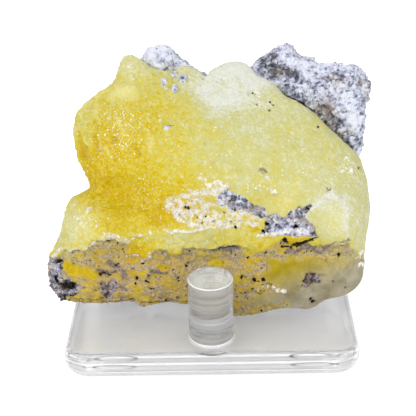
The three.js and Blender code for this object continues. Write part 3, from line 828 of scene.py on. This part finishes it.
# Stain: lilac-brown, drawn out sideways, with black specks
stain_length = 3.6 * MM
stain_height = 1.9 * MM
along_stain = add_node(tree, "ShaderNodeMapping", {
    "Vector": place, "Scale": (1 / stain_length, 1 / stain_height, 1 / stain_height)}).outputs["Vector"]
stain_cloud = add_node(tree, "ShaderNodeTexNoise", {
    "Vector": along_stain, "Scale": 1.0, "Detail": 7.0, "Roughness": 0.8}).outputs["Fac"]
stain_spread = add_node(tree, "ShaderNodeMapRange", {
    "Value": stain_cloud, "From Min": 0.4, "From Max": 0.56, "To Max": 0.9}).outputs["Result"]
stain_amount = add_node(tree, "ShaderNodeMath", {
    0: stain_spread, 1: masks["stain"]}, operation="MULTIPLY").outputs[0]
stain_shade = add_node(tree, "ShaderNodeValToRGB", {"Fac": flecks}, stops=[
    (0.3, "#62565a"), (0.48, "#a59583"), (0.7, "#d6c7a6")]).outputs["Color"]
speck_size = 1.0 * MM
specks = add_node(tree, "ShaderNodeTexNoise", {
    "Vector": place, "Scale": 1 / speck_size, "Detail": 2.0}).outputs["Fac"]
speck_spread = add_node(tree, "ShaderNodeMapRange", {
    "Value": specks, "From Min": 0.35, "From Max": 0.3}).outputs["Result"]
speck_amount = add_node(tree, "ShaderNodeMath", {
    0: speck_spread, 1: masks["stain"]}, operation="MULTIPLY").outputs[0]

# Crust: white and lacy, lilac-grey in its hollows, with dark grains caught in it
lace_size = 1.2 * MM
lace = add_node(tree, "ShaderNodeTexNoise", {
    "Vector": place, "Scale": 1 / lace_size, "Detail": 6.0, "Roughness": 0.72}).outputs["Fac"]
crust_spread = add_node(tree, "ShaderNodeMapRange", {
    "Value": lace, "From Min": 0.42, "From Max": 0.52}).outputs["Result"]
crust_amount = add_node(tree, "ShaderNodeMath", {
    0: crust_spread, 1: masks["crust"]}, operation="MULTIPLY").outputs[0]
crust_shade = add_node(tree, "ShaderNodeValToRGB", {"Fac": flecks}, stops=[
    (0.25, "#655a63"), (0.31, "#b3a9ad"), (0.42, "#dad4c8"), (0.62, "#f1eee6")]).outputs["Color"]

# Rock on the face: darkest at the lower left and in the pit
rock_lightness = add_node(tree, "ShaderNodeMapRange", {
    "Value": masks["darkness"], "To Min": 0.58, "To Max": 0.2}).outputs["Result"]
earthy_amount = add_node(tree, "ShaderNodeMath", {
    0: masks["earthy"], 1: 0.9}, operation="MULTIPLY").outputs[0]
rock_shade = add_node(tree, "ShaderNodeMixRGB", {
    "Fac": earthy_amount,
    "Color1": granular_rock(tree, place, rock_lightness),
    "Color2": colour("#d2bfae"),
}, blend_type="MULTIPLY").outputs["Color"]
smear_and_shadow_colour = add_node(tree, "ShaderNodeValToRGB", {"Fac": flecks}, stops=[
    (0.32, "#41393a"), (0.5, "#7b6f69"), (0.68, "#ab9c86")]).outputs["Color"]
white_edge_and_glint_colour = add_node(tree, "ShaderNodeValToRGB", {"Fac": grain_pick}, stops=[
    (0.1, "#cfc6c0"), (0.4, "#e9e5dc"), (0.8, "#f8f6f1")]).outputs["Color"]

# What lies on the mass, from the lowest up. Flecks break up an edge as widely as the number says
layers = [
    (milky_amount, 0, colour("#e9e8cf")),
    (brown_amount, 0, colour("#a3933c")),
    (pale_amount, 0, colour("#f4efcf")),
    # Painted highlight: the facets, ridges and places that catch the light, painted paler
    (masks["bright"], 0, colour("#f2eba6")),
    # Painted glints: white specks for highlights on the grains
    (glints, 0, colour("#fdfcf6")),
    (olive_amount, 0, olive_shade),
    (stain_amount, 0, stain_shade),
    (speck_amount, 0, colour("#2b211d")),
    # Lilac-brown smears, and the painted shadow below the crack under the right ledge
    (masks["smear"], 3.0, smear_and_shadow_colour),
    (crust_amount, 0, crust_shade),
    (masks["rock"], 2.0, rock_shade),
    # White crust edges, and the painted highlights and glints among them
    (masks["crust_edge_and_glint"], 4.0, white_edge_and_glint_colour),
    (masks["pit"], 3.2, colour("#1b1613")),
]
for amount, raggedness, paint in layers:
    if raggedness:
        rough_edge = add_node(tree, "ShaderNodeMath", {
            0: amount, 1: 1 + raggedness, 2: -raggedness}, operation="MULTIPLY_ADD").outputs[0]
        rough_edge = add_node(tree, "ShaderNodeMath", {
            0: flecks, 1: raggedness, 2: rough_edge}, operation="MULTIPLY_ADD").outputs[0]
        amount = add_node(tree, "ShaderNodeMapRange", {
            "Value": rough_edge, "From Min": 0.2, "From Max": 0.8}).outputs["Result"]
    body = add_node(tree, "ShaderNodeMixRGB", {
        "Fac": amount, "Color1": body, "Color2": paint}).outputs["Color"]

skin_bump = add_node(tree, "ShaderNodeBump", {
    "Height": flecks, "Strength": 0.55, "Distance": 0.2 * MM}).outputs["Normal"]
skin = add_node(tree, "ShaderNodeBsdfPrincipled", {
    "Base Color": body,
    "Roughness": 0.5,
    "IOR": 1.57,
    "Specular IOR Level": 0.12,
    "Subsurface Weight": 0.2,
    "Subsurface Radius": (1.0, 0.8, 0.3),
    "Subsurface Scale": 1.2 * MM,
    "Normal": skin_bump,
}).outputs["BSDF"]
add_node(tree, "ShaderNodeOutputMaterial", {"Surface": skin})
brucite.data.materials.append(brucite_skin)
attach(brucite, "root")
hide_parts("brucite")

# The matrix: the slab of pale grey serpentine rock that the brucite grew on, broken off rough. It
# is granular and peppered with black specks, with painted shade in its hollows and along the brucite's
# edge and painted light on its lit ridges and sides.
matrix = copy_of_node("matrix_rock", "matrix")
apply_modifier(matrix, "REMESH", mode="VOXEL", voxel_size=0.36 * MM)
bpy.ops.object.shade_smooth()
apply_modifier(matrix, "SMOOTH", factor=0.5, iterations=3)
across, up, out = stone_places(matrix.data)
everywhere = np.ones(across.shape)
behind = np.clip((-out - 4) / 6, 0, 1)
broken = np.where(across < 4, 0.35, 1.0)
push(matrix, 0.5, everywhere)
push(matrix, 4.0, behind, 9.0, noise_type="HARD_NOISE")
push(matrix, 1.3, broken, 4.5, noise_type="HARD_NOISE")
push(matrix, 1.0, np.maximum(broken, 0.7), 1.7, noise_type="HARD_NOISE")
push(matrix, 0.6, everywhere, 0.8)
worn = wavered(*wavered(across, up, 3.0, 1.2), 1.2, 0.7)
hollow_line = [(14.8, 53.8), (16.5, 54.6), (18.5, 54.2), (20.8, 52.6)]
rock_hollows = [(0.8, hollow_line), (1.5, [(-2, 58), (1.5, 57)])]
push(matrix, -0.9, streaks(rock_hollows, *worn, 1.6))
peak_slopes = [(0.6, [(-7.4, 59.6), (-6, 58.2)]), (0.4, [(35.4, 48.6), (35.8, 47.8)])]
push(matrix, -0.7, streaks(peak_slopes, across, up, 1.8))
peaks = [(-13.2, 59.3, 0.8), (36.6, 51.2, 0.8)]
push(matrix, 0.7, spots(peaks, across, up, 1.8))

# Painted shade where the rock lies in hollows and along the brucite, and painted light where its
# ridges, peaks and right side catch the light; it is also paler on its left peak
shadows = [
    (0.5, hollow_line),
    (0.4, [(12.8, 57), (13.8, 57.5)]),
    (0.7, [(17.5, 50.9), (19.2, 49.8), (21.7, 47.8), (24.4, 46.7)]),
    (1.4, [(25.5, 46.8), (27.4, 45.3), (29, 43.2), (30.8, 40.8)]),
    (0.5, [(31.4, 40.2), (32.8, 38)]),
    (0.6, [(32, 52.5), (34.5, 51.3)]),
]
# Paler as painted light along the lit ridges, peaks and right side of the block, and paler on the left
# peak
pale_and_lit = [
    (3.0, [(-11, 58), (-8, 60)]),
    (1.0, [(31.8, 47.5), (33.5, 46), (34, 43)]),
    (0.8, [(22, 55.8), (27, 56), (32.5, 55.2)]),
    (0.8, [(16.5, 60), (19, 58)]),
]
shaded = streaks(shadows, *worn, 2.0) * (out > -8)
# The lightness holds the painted shade and painted light together with the rock's own paleness
keep_mask(matrix, "lightness", 0.53 + 0.16 * streaks(pale_and_lit, *worn, 2.5) - 0.19 * shaded)
keep_inside(matrix, stone_low, cad_high)

# Granular serpentine rock: pale bluish grains with black ones between them, and no shine
rock_skin = bpy.data.materials.new("granular_serpentine_rock")
rock_skin.use_nodes = True
tree = rock_skin.node_tree
tree.nodes.clear()
place = add_node(tree, "ShaderNodeTexCoord").outputs["Object"]
lightness = add_node(tree, "ShaderNodeAttribute", attribute_name="lightness").outputs["Fac"]
# Painted shade in the hollows: where the surface curves in, the rock is darkened towards slate grey
hollows = add_node(tree, "ShaderNodeMapRange", {
    "Value": add_node(tree, "ShaderNodeNewGeometry").outputs["Pointiness"],
    "From Min": 0.48, "From Max": 0.41, "To Max": 0.7}).outputs["Result"]
body = add_node(tree, "ShaderNodeMixRGB", {
    "Fac": hollows,
    "Color1": granular_rock(tree, place, lightness),
    "Color2": colour("#3a3c47"),
}).outputs["Color"]
grit_size = 0.5 * MM
grit = add_node(tree, "ShaderNodeTexNoise", {
    "Vector": place, "Scale": 1 / grit_size, "Detail": 3.0}).outputs["Fac"]
grain_bump = add_node(tree, "ShaderNodeBump", {
    "Height": grit, "Strength": 0.6, "Distance": 0.3 * MM}).outputs["Normal"]
rock_shader = add_node(tree, "ShaderNodeBsdfPrincipled", {
    "Base Color": body, "Roughness": 0.9, "IOR": 1.55, "Normal": grain_bump}).outputs["BSDF"]
add_node(tree, "ShaderNodeOutputMaterial", {"Surface": rock_shader})
matrix.data.materials.append(rock_skin)
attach(matrix, "root")
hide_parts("matrix")

# The floor: a wide sheet of white paper that the stand is set down on, lit from below as well, so that
# it looks evenly white
floor_size = 3.0
bpy.ops.object.select_all(action="DESELECT")
bpy.ops.mesh.primitive_plane_add(size=floor_size, location=(0, 0, -0.02 * MM))
floor = bpy.context.object
floor.name = "white_floor"
paper = bpy.data.materials.new("white_paper")
paper.use_nodes = True
tree = paper.node_tree
tree.nodes.clear()
sheet = add_node(tree, "ShaderNodeBsdfDiffuse", {"Color": colour("#f4f4f4")}).outputs["BSDF"]
seen = add_node(tree, "ShaderNodeLightPath").outputs["Is Camera Ray"]
glow_strength = add_node(tree, "ShaderNodeMapRange", {
    "Value": seen, "To Min": 0.25, "To Max": 0.5}).outputs["Result"]
glow = add_node(tree, "ShaderNodeEmission", {"Strength": glow_strength}).outputs["Emission"]
floor_shader = add_node(tree, "ShaderNodeAddShader", {0: sheet, 1: glow}).outputs["Shader"]
add_node(tree, "ShaderNodeOutputMaterial", {"Surface": floor_shader})
floor.data.materials.append(paper)

# Light: a white tent that is brightest behind the stand, a softbox high on the left and a weaker one
# on the right
world = bpy.data.worlds.new("white_tent")
bpy.context.scene.world = world
world.use_nodes = True
tree = world.node_tree
tree.nodes.clear()
white = colour("#ffffff")
direction = add_node(tree, "ShaderNodeTexCoord").outputs["Generated"]
towards = add_node(tree, "ShaderNodeSeparateXYZ", {"Vector": direction}).outputs
overhead = add_node(tree, "ShaderNodeMapRange", {
    "Value": towards["Z"], "From Min": 0.1, "From Max": 0.4,
    "To Min": 0.05, "To Max": 0.45}).outputs["Result"]
rear_wall = add_node(tree, "ShaderNodeMapRange", {
    "Value": towards["Y"], "From Min": 0.1, "From Max": 0.7,
    "To Min": 1.0, "To Max": 2.6}).outputs["Result"]
tent_strength = add_node(tree, "ShaderNodeMath", {
    0: overhead, 1: rear_wall}, operation="MULTIPLY").outputs[0]
tent = add_node(tree, "ShaderNodeBackground", {
    "Color": white, "Strength": tent_strength}).outputs["Background"]
backdrop = add_node(tree, "ShaderNodeBackground", {"Color": white}).outputs["Background"]
seen = add_node(tree, "ShaderNodeLightPath").outputs["Is Camera Ray"]
sky = add_node(tree, "ShaderNodeMixShader", {"Fac": seen, 1: tent, 2: backdrop}).outputs["Shader"]
add_node(tree, "ShaderNodeOutputWorld", {"Surface": sky})

softbox_size = 0.4
softboxes = [
    ("key_softbox", (-0.4, -0.45, 0.5), 2.7),
    ("fill_softbox", (0.45, -0.4, 0.35), 1.4),
]
for name, spot, power in softboxes:
    bpy.ops.object.light_add(type="AREA", location=spot)
    softbox = bpy.context.object
    softbox.name = name
    softbox.data.size = softbox_size
    softbox.data.energy = power
    softbox.rotation_euler = (-softbox.location).to_track_quat("-Z", "Y").to_euler()

# Camera: in front of the stone and higher, looking down on its leaning face
camera_data = bpy.data.cameras.new("camera")
camera = bpy.data.objects.new("camera", camera_data)
bpy.context.scene.collection.objects.link(camera)
camera_data.lens = 90.2
camera_data.sensor_width = 36
camera.matrix_world = (
    Matrix.Translation(Vector((2.84, -214.07, 139.36)) * MM)
    @ Matrix.Rotation(math.radians(0.873), 4, "Z")
    @ Matrix.Rotation(math.radians(62.577), 4, "X")
    @ Matrix.Rotation(math.radians(-1.348), 4, "Z")
)
bpy.context.scene.camera = camera
bpy.context.scene.view_settings.view_transform = "Standard"

# Light is followed through the many clear walls of the stand
bounces = 32
light_paths = bpy.context.scene.cycles
light_paths.max_bounces = bounces
light_paths.glossy_bounces = bounces
light_paths.transmission_bounces = bounces
